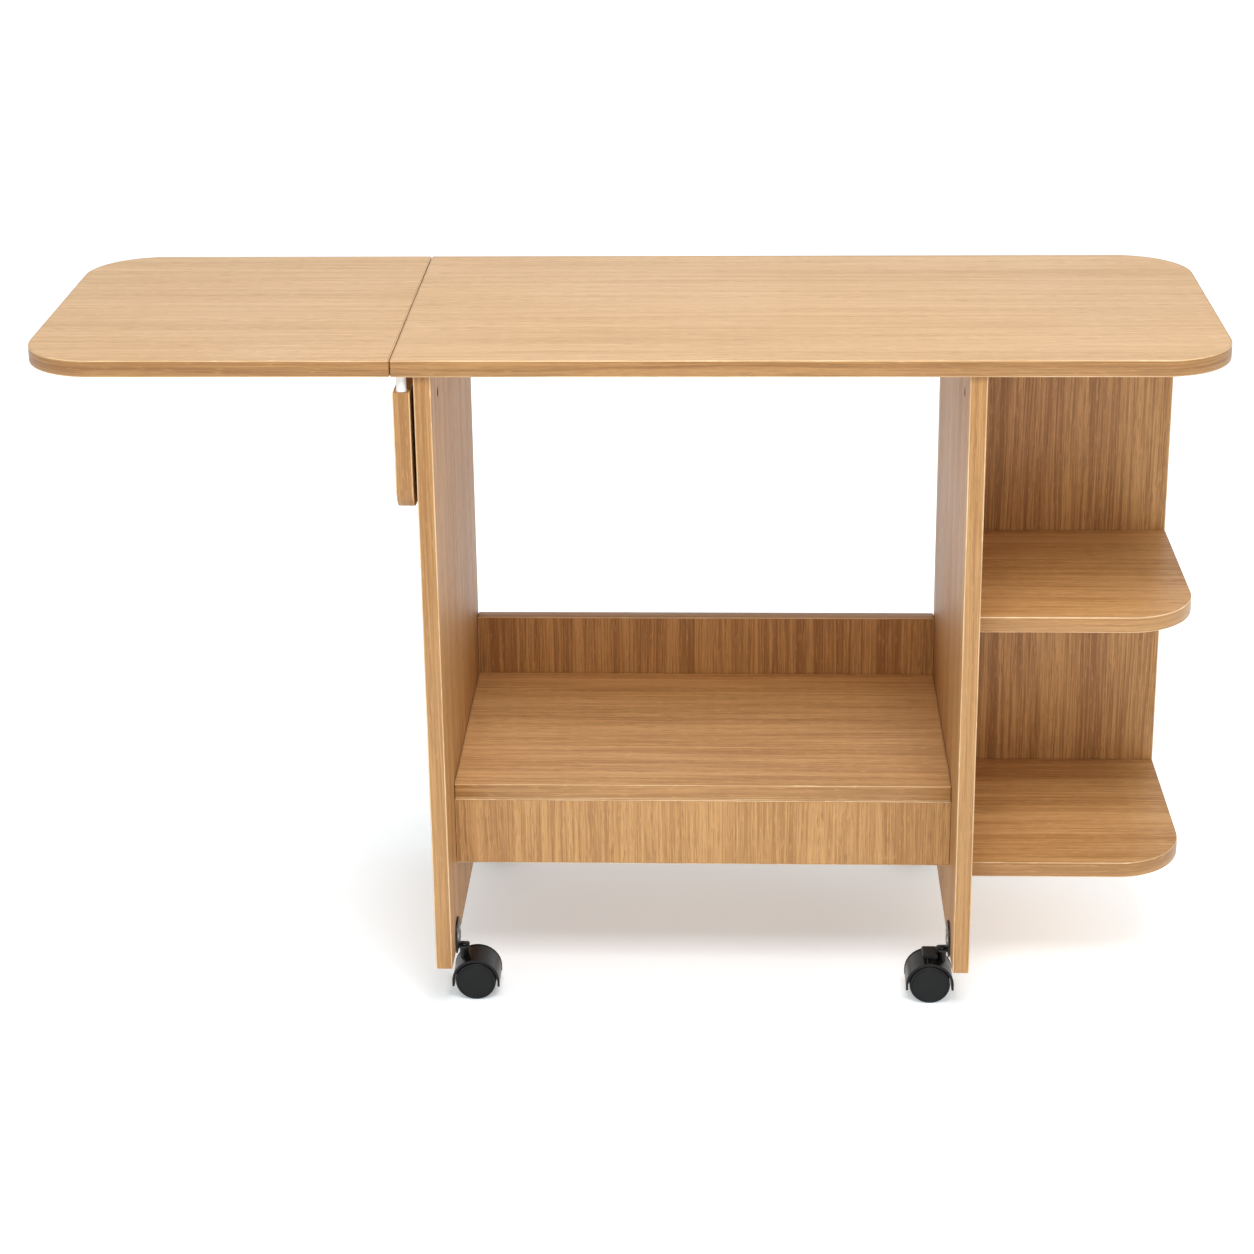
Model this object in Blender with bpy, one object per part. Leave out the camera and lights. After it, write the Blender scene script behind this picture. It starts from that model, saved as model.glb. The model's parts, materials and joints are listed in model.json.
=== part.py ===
"""Folding sewing table on casters.

A fixed top on two side panels, a drop leaf on the left, an open shelf unit on the right and a
low shelf between the panels.  A swing-out arm on the left panel holds up the leaf.
Metres, +Z up, +X towards the open shelves, -Y towards the person sewing.  The origin is on the
floor, below the centre of the top.
"""

import math

import bmesh
import bpy
from mathutils import Matrix, Vector

# Overall
LENGTH = 1.250
DEPTH = 0.415
HEIGHT = 0.760
BOARD = 0.018
FIT_GAP = 0.0003
ARRIS = 0.0008

# Top and drop leaf
TOP_CORNER_RADIUS = 0.078
SEAM_X = -0.2375
SEAM_GAP = 0.0008

# Side panels
LEFT_PANEL_OUTER_X = -0.2145
RIGHT_PANEL_INNER_X = 0.352
PANEL_FRONT_Y = -0.203
PANEL_BACK_Y = 0.203
PANEL_BOTTOM_Z = 0.058

# Low shelf with its front apron and its back rail
SHELF_FRONT_Y = -0.125
SHELF_TOP_Z = 0.246
APRON_BOTTOM_Z = 0.149
RAIL_TOP_Z = 0.318

# Open shelf unit at the right end
END_RIGHT_X = 0.613
END_BACK_PANEL_FRONT_Y = 0.144
UPPER_END_SHELF_TOP_Z = 0.447
LOWER_END_SHELF_TOP_Z = 0.154
END_SHELF_CORNER_RADIUS = 0.076

# Cam locks in the inner faces of the side panels
CAM_RADIUS = 0.0050
CAM_DEPTH = 0.0090
CAM_SLOT_WIDTH = 0.0016
CAM_SLOT_REACH = 0.0040
CAM_SLOT_DEPTH = 0.0012
CAM_Y = -0.142
CAM_Z = 0.706

# Support arm, hung on a vertical axis beside the left panel
ARM_PANEL_GAP = 0.004
ARM_BACK_Y = 0.120
ARM_TOP_Z = 0.724
ARM_BOTTOM_Z = 0.594
ARM_CORNER_RADIUS = 0.025
STOPPER_RADIUS = 0.0058
STOPPER_SETBACK = 0.0075
STOPPER_TAPER = 0.0012

# Butt hinges
BARREL_RADIUS = 0.0030
PIN_RADIUS = 0.0012
HINGE_FLAP = 0.0012
HINGE_FLAP_INSET = 0.0016
ARM_HINGE_LENGTH = 0.030
ARM_HINGE_FLAP_WIDTH = 0.025
ARM_HINGE_LOW_Z = (0.612, 0.682)
LEAF_HINGE_LENGTH = 0.060
LEAF_HINGE_FLAP_WIDTH = 0.021
LEAF_HINGE_CENTRE_Y = (-0.105, 0.125)

# Casters, measured from each one's swivel axis
SWIVEL_INSET = 0.0075
FRONT_CASTER_SETBACK = 0.055
BACK_CASTER_SETBACK = 0.0205
CASTER_TRAIL = 0.0138
WHEEL_RADIUS = 0.0225
WHEEL_EDGE = 0.0012
WHEEL_INNER = 0.0030
WHEEL_OUTER = 0.0205
AXLE_RADIUS = 0.0025
AXLE_HALF_LENGTH = 0.0150
HOOD_RADIUS = 0.0265
HOOD_BORE_RADIUS = 0.0236
HOOD_HALF_LENGTH = 0.0190
HOOD_STEP_Z = 0.0240
FIN_THICKNESS = 0.0020
FIN_BOTTOM_Z = 0.0160
WEB_HALF_THICKNESS = 0.0026
HUB_RADIUS = 0.0060
BOSS_RADIUS = 0.0050
BOSS_TOP_Z = 0.0572
BOSS_BOTTOM_Z = 0.0430
STEM_RADIUS = 0.0030
STEM_BOTTOM_Z = 0.0470
TAB_BOTTOM_Z = 0.0575
BRACKET_SHEET = 0.0020
TAB_REACH = 0.0062
TAB_HALF_WIDTH = 0.0068
PLATE_HALF_WIDTH = 0.0190
PLATE_TOP_Z = 0.0910
PLATE_CORNER_RADIUS = 0.0180
RIVET_HEAD_RADIUS = 0.0044
RIVET_TOP_RADIUS = 0.0032
RIVET_HEAD_HEIGHT = 0.0018

# Brake rocker, a cap over a narrow neck on top of a caster's hood
ROCKER_HALF_LENGTH = 0.0084
ROCKER_HALF_WIDTH = 0.0100
ROCKER_BOTTOM_Z = 0.0506
ROCKER_TOP_Z = 0.0558
ROCKER_PIVOT_Z = 0.0520
ROCKER_CORNER_RADIUS = 0.0016
ROCKER_POCKET_TOP_Z = 0.0544
ROCKER_POCKET_PLAY = 0.0008
TRUNNION_RADIUS = 0.0010
NECK_HALF_LENGTH = 0.0032
NECK_HALF_WIDTH = 0.0078
NECK_TOP_Z = 0.0539
NECK_CORNER_RADIUS = 0.0012
RIB_TOP_Z = 0.0497

# Facets
TOP_CORNER_STEPS = 12
SMALL_CORNER_STEPS = 5
WHEEL_SIDES = 28
PIN_SIDES = 14
HOOD_STEPS = 14
STOPPER_SIDES = 24

# Angles between faces, above which an edge is eased or stays sharp
ARRIS_ANGLE = math.radians(50)
SHARP_ANGLE = math.radians(35)

UNDERSIDE_Z = HEIGHT - BOARD
LEFT_PANEL_INNER_X = LEFT_PANEL_OUTER_X + BOARD
RIGHT_PANEL_OUTER_X = RIGHT_PANEL_INNER_X + BOARD
ARM_FRONT_Y = PANEL_FRONT_Y
ARM_INNER_X = LEFT_PANEL_OUTER_X - ARM_PANEL_GAP
ARM_AXIS_X = LEFT_PANEL_OUTER_X - BARREL_RADIUS - FIT_GAP
ARM_AXIS_Y = ARM_BACK_Y + BARREL_RADIUS + FIT_GAP
LEAF_AXIS_Z = UNDERSIDE_Z - BARREL_RADIUS - FIT_GAP

MATERIALS = {
    "oak_top": ((0.640, 0.395, 0.195), 0.42, 0.0),
    "oak_panel": ((0.560, 0.320, 0.140), 0.46, 0.0),
    "oak_shelf": ((0.520, 0.290, 0.125), 0.46, 0.0),
    "oak_back": ((0.420, 0.225, 0.095), 0.50, 0.0),
    "hood_plastic": ((0.012, 0.012, 0.013), 0.38, 0.0),
    "wheel_plastic": ((0.022, 0.023, 0.025), 0.55, 0.0),
    "rocker_plastic": ((0.018, 0.018, 0.019), 0.45, 0.0),
    "bracket_steel": ((0.015, 0.015, 0.016), 0.35, 0.6),
    "axle_steel": ((0.550, 0.550, 0.560), 0.35, 1.0),
    "hinge_steel": ((0.600, 0.590, 0.560), 0.32, 1.0),
    "stopper_plastic": ((0.780, 0.785, 0.790), 0.40, 0.0),
    "cam_zinc": ((0.110, 0.070, 0.045), 0.50, 0.8),
}


def clear_scene():
    for old in list(bpy.data.objects):
        bpy.data.objects.remove(old, do_unlink=True)


def material(name):
    found = bpy.data.materials.get(name)
    if found:
        return found
    colour, roughness, metallic = MATERIALS[name]
    made = bpy.data.materials.new(name)
    made.use_nodes = True
    shader = made.node_tree.nodes["Principled BSDF"]
    shader.inputs["Base Color"].default_value = (*colour, 1.0)
    shader.inputs["Roughness"].default_value = roughness
    shader.inputs["Metallic"].default_value = metallic
    return made


def mesh_from(bm, name):
    bmesh.ops.recalc_face_normals(bm, faces=bm.faces)
    mesh = bpy.data.meshes.new(name)
    bm.to_mesh(mesh)
    bm.free()
    return mesh


def place(name, mesh, slot, location=(0, 0, 0), parent=None, turn=0.0, smooth=False):
    """Add one named piece; its location is in the parent's frame."""
    mesh.materials.clear()
    mesh.materials.append(material(slot))
    piece = bpy.data.objects.new(name, mesh)
    bpy.context.scene.collection.objects.link(piece)
    piece.location = location
    piece.rotation_euler = (0.0, 0.0, turn)
    piece.parent = parent
    if smooth:
        mesh.shade_smooth()
        mesh.set_sharp_from_angle(angle=SHARP_ANGLE)
    return piece


def pivot(name, location, turn=0.0):
    """Add an empty that stands on a joint's axis."""
    empty = bpy.data.objects.new(name, None)
    bpy.context.scene.collection.objects.link(empty)
    empty.empty_display_size = 0.02
    empty.location = location
    empty.rotation_euler = (0.0, 0.0, turn)
    return empty


def arc(centre, radius, start, end, steps):
    """Points on an arc, both ends included; the angles are in degrees."""
    points = []
    for step in range(steps + 1):
        angle = math.radians(start + (end - start) * step / steps)
        points.append((centre[0] + radius * math.cos(angle), centre[1] + radius * math.sin(angle)))
    return points


def circle(centre, radius, sides):
    return arc(centre, radius, 0, 360 - 360 / sides, sides - 1)


def rounded_outline(low, high, radii, steps):
    """Rectangle from low to high; radii go round from the low corner, anticlockwise."""
    corners = [
        (low[0], low[1], 1, 1, 180),
        (high[0], low[1], -1, 1, 270),
        (high[0], high[1], -1, -1, 0),
        (low[0], high[1], 1, -1, 90),
    ]
    points = []
    for (u, v, du, dv, start), radius in zip(corners, radii):
        if radius == 0:
            points.append((u, v))
        else:
            centre = (u + du * radius, v + dv * radius)
            points.extend(arc(centre, radius, start, start + 90, steps))
    return points


def prism(outline, low, high, axis="z"):
    """Solid with the given outline, running from low to high along one axis."""
    order = {"x": (2, 0, 1), "y": (0, 2, 1), "z": (0, 1, 2)}[axis]
    bm = bmesh.new()
    rings = []
    for along in (low, high):
        ring = []
        for u, v in outline:
            given = (u, v, along)
            ring.append(bm.verts.new([given[index] for index in order]))
        rings.append(ring)
    bm.faces.new(rings[0])
    bm.faces.new(rings[1])
    count = len(outline)
    for index in range(count):
        following = (index + 1) % count
        bm.faces.new((rings[0][index], rings[0][following], rings[1][following], rings[1][index]))
    return bm


def lathe(profile, sides, axis="z"):
    """Solid of revolution; profile is a chain of (radius, position along the axis)."""
    bm = bmesh.new()
    rings = []
    for radius, along in profile:
        if radius == 0:
            rings.append([bm.verts.new((0.0, 0.0, along))])
            continue
        ring = []
        for side in range(sides):
            angle = 2.0 * math.pi * side / sides
            ring.append(bm.verts.new((radius * math.sin(angle), -radius * math.cos(angle), along)))
        rings.append(ring)
    closed = len(rings[0]) > 1
    spans = list(zip(rings, rings[1:]))
    if closed:
        spans.append((rings[-1], rings[0]))
    for first, second in spans:
        for side in range(sides):
            following = (side + 1) % sides
            corners = []
            if len(first) == 1:
                corners = [first[0], second[side], second[following]]
            elif len(second) == 1:
                corners = [first[side], first[following], second[0]]
            else:
                corners = [first[side], first[following], second[following], second[side]]
            bm.faces.new(corners)
    if axis == "y":
        bmesh.ops.transform(bm, matrix=Matrix.Rotation(math.radians(90), 4, "X"), verts=bm.verts)
    return bm


def moved(bm, offset):
    bmesh.ops.translate(bm, vec=Vector(offset), verts=bm.verts)
    return bm


def combined(name, base, added=(), removed=(), last=()):
    """Join solids to a base solid, cut others away from it, then join the last ones."""
    scene = bpy.context.scene
    body = bpy.data.objects.new(name + "_blank", mesh_from(base, name + "_blank"))
    scene.collection.objects.link(body)
    tools = []
    for operation, solids in (("UNION", added), ("DIFFERENCE", removed), ("UNION", last)):
        for solid in solids:
            tool = bpy.data.objects.new(name + "_tool", mesh_from(solid, name + "_tool"))
            scene.collection.objects.link(tool)
            tool.hide_render = True
            tool.display_type = "WIRE"
            tools.append(tool)
            step = body.modifiers.new(operation.title(), "BOOLEAN")
            step.operation = operation
            step.solver = "EXACT"
            step.object = tool
    graph = bpy.context.evaluated_depsgraph_get()
    mesh = bpy.data.meshes.new_from_object(body.evaluated_get(graph))
    mesh.name = name
    for used in [body] + tools:
        bpy.data.objects.remove(used, do_unlink=True)
    return mesh


def board(name, slot, outline, low, high, axis, origin=(0, 0, 0), parent=None, cut=()):
    """Board with its edges eased; every size is in the table's frame."""
    shift = [-value for value in origin]
    solid = moved(prism(outline, low, high, axis), shift)
    if cut:
        mesh = combined(name, solid, removed=[moved(tool, shift) for tool in cut])
    else:
        mesh = mesh_from(solid, name)
    location = origin if parent is None else (0, 0, 0)
    piece = place(name, mesh, slot, location, parent)
    ease = piece.modifiers.new("Eased edges", "BEVEL")
    ease.width = ARRIS
    ease.segments = 1
    ease.limit_method = "ANGLE"
    ease.angle_limit = ARRIS_ANGLE
    return piece


def build_top(leaf_pivot):
    half_length = LENGTH / 2
    half_depth = DEPTH / 2
    radius = TOP_CORNER_RADIUS
    edge = SEAM_X + SEAM_GAP / 2
    outline = rounded_outline((edge, -half_depth), (half_length, half_depth),
                              (0, radius, radius, 0), TOP_CORNER_STEPS)
    board("main_top", "oak_top", outline, UNDERSIDE_Z, HEIGHT, "z")
    edge = SEAM_X - SEAM_GAP / 2
    outline = rounded_outline((-half_length, -half_depth), (edge, half_depth),
                              (radius, 0, 0, radius), TOP_CORNER_STEPS)
    board("drop_leaf", "oak_top", outline, UNDERSIDE_Z, HEIGHT, "z",
          (SEAM_X, 0, LEAF_AXIS_Z), leaf_pivot)


def build_side_panels():
    outline = rounded_outline((PANEL_FRONT_Y, PANEL_BOTTOM_Z),
                              (PANEL_BACK_Y, UNDERSIDE_Z - FIT_GAP), (0, 0, 0, 0), 1)
    sides = [
        ("left", LEFT_PANEL_OUTER_X, LEFT_PANEL_INNER_X, LEFT_PANEL_INNER_X, -1),
        ("right", RIGHT_PANEL_INNER_X, RIGHT_PANEL_OUTER_X, RIGHT_PANEL_INNER_X, 1),
    ]
    for side, low_x, high_x, inner_x, inward in sides:
        bore_end = inner_x + inward * (CAM_DEPTH + FIT_GAP)
        mouth = inner_x - inward * FIT_GAP
        bore = prism(circle((CAM_Y, CAM_Z), CAM_RADIUS + FIT_GAP, PIN_SIDES),
                     min(mouth, bore_end), max(mouth, bore_end), "x")
        board(side + "_side_panel", "oak_panel", outline, low_x, high_x, "x", cut=[bore])
        body = lathe([(0, 0), (CAM_RADIUS - 2 * ARRIS, 0), (CAM_RADIUS, 2 * ARRIS),
                      (CAM_RADIUS, CAM_DEPTH), (0, CAM_DEPTH)], PIN_SIDES)
        slots = []
        for half_u, half_v in ((CAM_SLOT_WIDTH / 2, CAM_SLOT_REACH), (CAM_SLOT_REACH, CAM_SLOT_WIDTH / 2)):
            cross = rounded_outline((-half_u, -half_v), (half_u, half_v), (0, 0, 0, 0), 1)
            slots.append(prism(cross, CAM_DEPTH - CAM_SLOT_DEPTH, CAM_DEPTH + FIT_GAP, "z"))
        mesh = combined(side + "_cam_lock", body, removed=slots)
        mesh.transform(Matrix.Rotation(math.radians(-90 * inward), 4, "Y"))
        place(side + "_cam_lock", mesh, "cam_zinc", (inner_x + inward * CAM_DEPTH, CAM_Y, CAM_Z))


def build_low_shelf():
    left = LEFT_PANEL_INNER_X + FIT_GAP
    right = RIGHT_PANEL_INNER_X - FIT_GAP
    rail_front = PANEL_BACK_Y - BOARD
    shelf_bottom = SHELF_TOP_Z - BOARD
    outline = rounded_outline((left, SHELF_FRONT_Y), (right, rail_front - FIT_GAP), (0, 0, 0, 0), 1)
    board("low_shelf", "oak_shelf", outline, shelf_bottom, SHELF_TOP_Z, "z")
    outline = rounded_outline((left, shelf_bottom), (right, RAIL_TOP_Z), (0, 0, 0, 0), 1)
    board("back_rail", "oak_back", outline, rail_front, PANEL_BACK_Y, "y")
    outline = rounded_outline((left, APRON_BOTTOM_Z), (right, shelf_bottom - FIT_GAP), (0, 0, 0, 0), 1)
    board("front_apron", "oak_panel", outline, SHELF_FRONT_Y, SHELF_FRONT_Y + BOARD, "y")


def build_end_unit():
    left = RIGHT_PANEL_OUTER_X + FIT_GAP
    bottom = LOWER_END_SHELF_TOP_Z - BOARD
    outline = rounded_outline((left, bottom), (END_RIGHT_X, UNDERSIDE_Z - FIT_GAP), (0, 0, 0, 0), 1)
    board("end_back_panel", "oak_back", outline, END_BACK_PANEL_FRONT_Y,
          END_BACK_PANEL_FRONT_Y + BOARD, "y")
    outline = rounded_outline((left, SHELF_FRONT_Y), (END_RIGHT_X, END_BACK_PANEL_FRONT_Y - FIT_GAP),
                              (0, END_SHELF_CORNER_RADIUS, 0, 0), TOP_CORNER_STEPS)
    for name, top in (("upper", UPPER_END_SHELF_TOP_Z), ("lower", LOWER_END_SHELF_TOP_Z)):
        board(name + "_end_shelf", "oak_shelf", outline, top - BOARD, top, "z")


def hinge_meshes(name, length, flap_width, fixed_offset, moving_offset):
    """Butt hinge along +Z from the origin.

    The fixed flap lies on the +Y side of the axis and the moving flap on the -Y side, each
    starting the given offset from the axis along X.
    """
    third = length / 3
    reach = BARREL_RADIUS + FIT_GAP
    bore = PIN_RADIUS + FIT_GAP
    spans = {"moving": [(third + FIT_GAP / 2, 2 * third - FIT_GAP / 2)],
             "fixed": [(0, third - FIT_GAP / 2), (2 * third + FIT_GAP / 2, length)]}
    meshes = {}
    for kind, side, offset in (("fixed", 1, fixed_offset), ("moving", -1, moving_offset)):
        outline = [(side * flap_width, 0), (side * flap_width, length), (side * reach, length)]
        knuckles = []
        bores = []
        for low, high in reversed(spans[kind]):
            outline += [(side * reach, high - FIT_GAP), (0, high - FIT_GAP),
                        (0, low + FIT_GAP), (side * reach, low + FIT_GAP)]
            knuckles.append(prism(circle((0, 0), BARREL_RADIUS, PIN_SIDES), low, high, "z"))
            bores.append(prism(circle((0, 0), bore, PIN_SIDES), low - FIT_GAP, high + FIT_GAP, "z"))
        outline.append((side * reach, 0))
        sheet = prism(outline, offset, offset + HINGE_FLAP, "x")
        meshes[kind] = combined(name + "_" + kind, sheet, knuckles, bores)
    pin = prism(circle((0, 0), PIN_RADIUS, PIN_SIDES), 0, length, "z")
    meshes["pin"] = mesh_from(pin, name + "_pin")
    return meshes


def build_leaf_hinges(leaf_pivot):
    offset = HINGE_FLAP_INSET
    meshes = hinge_meshes("leaf_hinge", LEAF_HINGE_LENGTH, LEAF_HINGE_FLAP_WIDTH, offset, offset)
    lay = Matrix(((0, 1, 0, 0), (0, 0, 1, 0), (1, 0, 0, 0), (0, 0, 0, 1)))
    for mesh in meshes.values():
        mesh.transform(lay)
    for end, centre_y in zip(("front", "back"), LEAF_HINGE_CENTRE_Y):
        low_y = centre_y - LEAF_HINGE_LENGTH / 2
        fixed_at = (SEAM_X, low_y, LEAF_AXIS_Z)
        for kind in ("fixed", "pin"):
            place("leaf_hinge_{}_{}".format(end, kind), meshes[kind].copy(), "hinge_steel", fixed_at,
                  smooth=True)
        place("leaf_hinge_{}_moving".format(end), meshes["moving"].copy(), "hinge_steel",
              (0, low_y, 0), leaf_pivot, smooth=True)


def build_support_arm(arm_pivot):
    outline = rounded_outline((ARM_FRONT_Y, ARM_BOTTOM_Z), (ARM_BACK_Y, ARM_TOP_Z),
                              (ARM_CORNER_RADIUS, 0, 0, 0), TOP_CORNER_STEPS)
    origin = (ARM_AXIS_X, ARM_AXIS_Y, 0)
    board("support_arm", "oak_panel", outline, ARM_INNER_X - BOARD, ARM_INNER_X, "x",
          origin, arm_pivot)
    height = UNDERSIDE_Z - ARM_TOP_Z - 2 * FIT_GAP
    shaft = STOPPER_RADIUS
    profile = [(0, 0), (shaft, 0), (shaft, height - STOPPER_TAPER),
               (shaft - STOPPER_TAPER, height), (0, height)]
    stopper_at = (ARM_INNER_X - BOARD / 2 - ARM_AXIS_X,
                  ARM_FRONT_Y + STOPPER_SETBACK - ARM_AXIS_Y, ARM_TOP_Z + FIT_GAP)
    place("arm_stopper", mesh_from(lathe(profile, STOPPER_SIDES), "arm_stopper"), "stopper_plastic",
          stopper_at, arm_pivot, smooth=True)
    moving_offset = ARM_INNER_X + FIT_GAP - ARM_AXIS_X
    meshes = hinge_meshes("arm_hinge", ARM_HINGE_LENGTH, ARM_HINGE_FLAP_WIDTH,
                          HINGE_FLAP_INSET, moving_offset)
    for level, low_z in zip(("lower", "upper"), ARM_HINGE_LOW_Z):
        fixed_at = (ARM_AXIS_X, ARM_AXIS_Y, low_z)
        for kind in ("fixed", "pin"):
            place("arm_hinge_{}_{}".format(level, kind), meshes[kind].copy(), "hinge_steel", fixed_at,
                  smooth=True)
        place("arm_hinge_{}_moving".format(level), meshes["moving"].copy(), "hinge_steel",
              (0, 0, low_z), arm_pivot, smooth=True)


def wheel_mesh():
    """Wheel on the +Y side of the hood's web, about its own axle."""
    rim = WHEEL_RADIUS
    edge = WHEEL_EDGE
    face = WHEEL_OUTER - edge
    bore = AXLE_RADIUS + FIT_GAP
    bore_end = AXLE_HALF_LENGTH + FIT_GAP
    profile = [
        (0, -bore_end),
        (bore, -bore_end),
        (bore, -WHEEL_INNER),
        (rim - edge, -WHEEL_INNER),
        (rim, -WHEEL_INNER - edge),
        (rim, -WHEEL_OUTER + 2 * edge),
        (rim - edge, -WHEEL_OUTER + 0.5 * edge),
        (rim - 3 * edge, -WHEEL_OUTER),
        (0, -face - 0.5 * edge),
    ]
    return mesh_from(lathe(profile, WHEEL_SIDES, "y"), "wheel")


def hood_mesh(with_brake):
    """Hood over both wheels, with the web between them and the boss for the stem."""
    centre = (CASTER_TRAIL, WHEEL_RADIUS)
    out = HOOD_RADIUS
    fin_inner = out - FIN_THICKNESS
    step_half = math.sqrt(HOOD_BORE_RADIUS ** 2 - (HOOD_STEP_Z - WHEEL_RADIUS) ** 2)
    step_angle = math.degrees(math.asin((HOOD_STEP_Z - WHEEL_RADIUS) / HOOD_BORE_RADIUS))
    shell = [(centre[0] + out, FIN_BOTTOM_Z)]
    shell += arc(centre, out, 0, 180, HOOD_STEPS)
    shell += [(centre[0] - out, FIN_BOTTOM_Z), (centre[0] - fin_inner, FIN_BOTTOM_Z),
              (centre[0] - fin_inner, HOOD_STEP_Z), (centre[0] - step_half, HOOD_STEP_Z)]
    shell += arc(centre, HOOD_BORE_RADIUS, 180 - step_angle, step_angle, HOOD_STEPS)[1:-1]
    shell += [(centre[0] + step_half, HOOD_STEP_Z), (centre[0] + fin_inner, HOOD_STEP_Z),
              (centre[0] + fin_inner, FIN_BOTTOM_Z)]
    base = prism(shell, -HOOD_HALF_LENGTH, HOOD_HALF_LENGTH, "y")
    web_outline = arc(centre, out - FIN_THICKNESS, 0, 180, HOOD_STEPS)
    web_outline += arc(centre, HUB_RADIUS, 180, 360, SMALL_CORNER_STEPS)
    web = prism(web_outline, -WEB_HALF_THICKNESS, WEB_HALF_THICKNESS, "y")
    boss = prism(circle((0, 0), BOSS_RADIUS, PIN_SIDES), BOSS_BOTTOM_Z, BOSS_TOP_Z, "z")
    stem_bore = prism(circle((0, 0), STEM_RADIUS + FIT_GAP, PIN_SIDES),
                      STEM_BOTTOM_Z - FIT_GAP, BOSS_TOP_Z + FIT_GAP, "z")
    axle_bore = prism(circle(centre, AXLE_RADIUS + FIT_GAP, PIN_SIDES),
                      -HOOD_HALF_LENGTH, HOOD_HALF_LENGTH, "y")
    added = [web, boss]
    removed = [stem_bore, axle_bore]
    if with_brake:
        for half_width, top_z in ((NECK_HALF_WIDTH, NECK_TOP_Z), (HOOD_HALF_LENGTH, RIB_TOP_Z)):
            low = (CASTER_TRAIL - NECK_HALF_LENGTH, BOSS_BOTTOM_Z + HOOD_RADIUS - HOOD_BORE_RADIUS)
            high = (CASTER_TRAIL + NECK_HALF_LENGTH, top_z)
            neck = rounded_outline(low, high, (0, 0, NECK_CORNER_RADIUS, NECK_CORNER_RADIUS),
                                   SMALL_CORNER_STEPS)
            added.append(prism(neck, -half_width, half_width, "y"))
        hole = circle((CASTER_TRAIL, ROCKER_PIVOT_Z), TRUNNION_RADIUS + FIT_GAP, PIN_SIDES)
        removed.append(prism(hole, -HOOD_HALF_LENGTH, HOOD_HALF_LENGTH, "y"))
    return combined("hood_with_brake" if with_brake else "hood", base, added, removed)


def bracket_mesh():
    """Side plate against the panel with a tab under which the caster swivels."""
    face = -SWIVEL_INSET + FIT_GAP
    outline = rounded_outline((-PLATE_HALF_WIDTH, TAB_BOTTOM_Z), (PLATE_HALF_WIDTH, PLATE_TOP_Z),
                              (0, 0, PLATE_CORNER_RADIUS, PLATE_CORNER_RADIUS), SMALL_CORNER_STEPS)
    plate = prism(outline, face, face + BRACKET_SHEET, "x")
    corner = TAB_HALF_WIDTH / 2
    outline = rounded_outline((face + BRACKET_SHEET / 2, -TAB_HALF_WIDTH), (TAB_REACH, TAB_HALF_WIDTH),
                              (0, corner, corner, 0), SMALL_CORNER_STEPS)
    tab = prism(outline, TAB_BOTTOM_Z, TAB_BOTTOM_Z + BRACKET_SHEET, "z")
    hole = prism(circle((0, 0), STEM_RADIUS + FIT_GAP, PIN_SIDES),
                 TAB_BOTTOM_Z - FIT_GAP, TAB_BOTTOM_Z + BRACKET_SHEET + FIT_GAP, "z")
    return combined("bracket", plate, [tab], [hole])


def rocker_mesh():
    """Brake rocker, hollow below for the hood's neck, with its pin, about its own pivot."""
    low = (-ROCKER_HALF_LENGTH, ROCKER_BOTTOM_Z - ROCKER_PIVOT_Z)
    high = (ROCKER_HALF_LENGTH, ROCKER_TOP_Z - ROCKER_PIVOT_Z)
    outline = rounded_outline(low, high, [ROCKER_CORNER_RADIUS] * 4, SMALL_CORNER_STEPS)
    body = prism(outline, -ROCKER_HALF_WIDTH, ROCKER_HALF_WIDTH, "y")
    half = NECK_HALF_LENGTH + ROCKER_POCKET_PLAY
    hollow = rounded_outline((-half, low[1] - FIT_GAP), (half, ROCKER_POCKET_TOP_Z - ROCKER_PIVOT_Z),
                             (0, 0, 0, 0), 1)
    pocket_end = NECK_HALF_WIDTH + FIT_GAP
    pocket = prism(hollow, -pocket_end, pocket_end, "y")
    pin_end = (ROCKER_HALF_WIDTH + pocket_end) / 2
    pin = prism(circle((0, 0), TRUNNION_RADIUS, PIN_SIDES), -pin_end, pin_end, "y")
    return combined("rocker", body, removed=[pocket], last=[pin])


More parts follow.
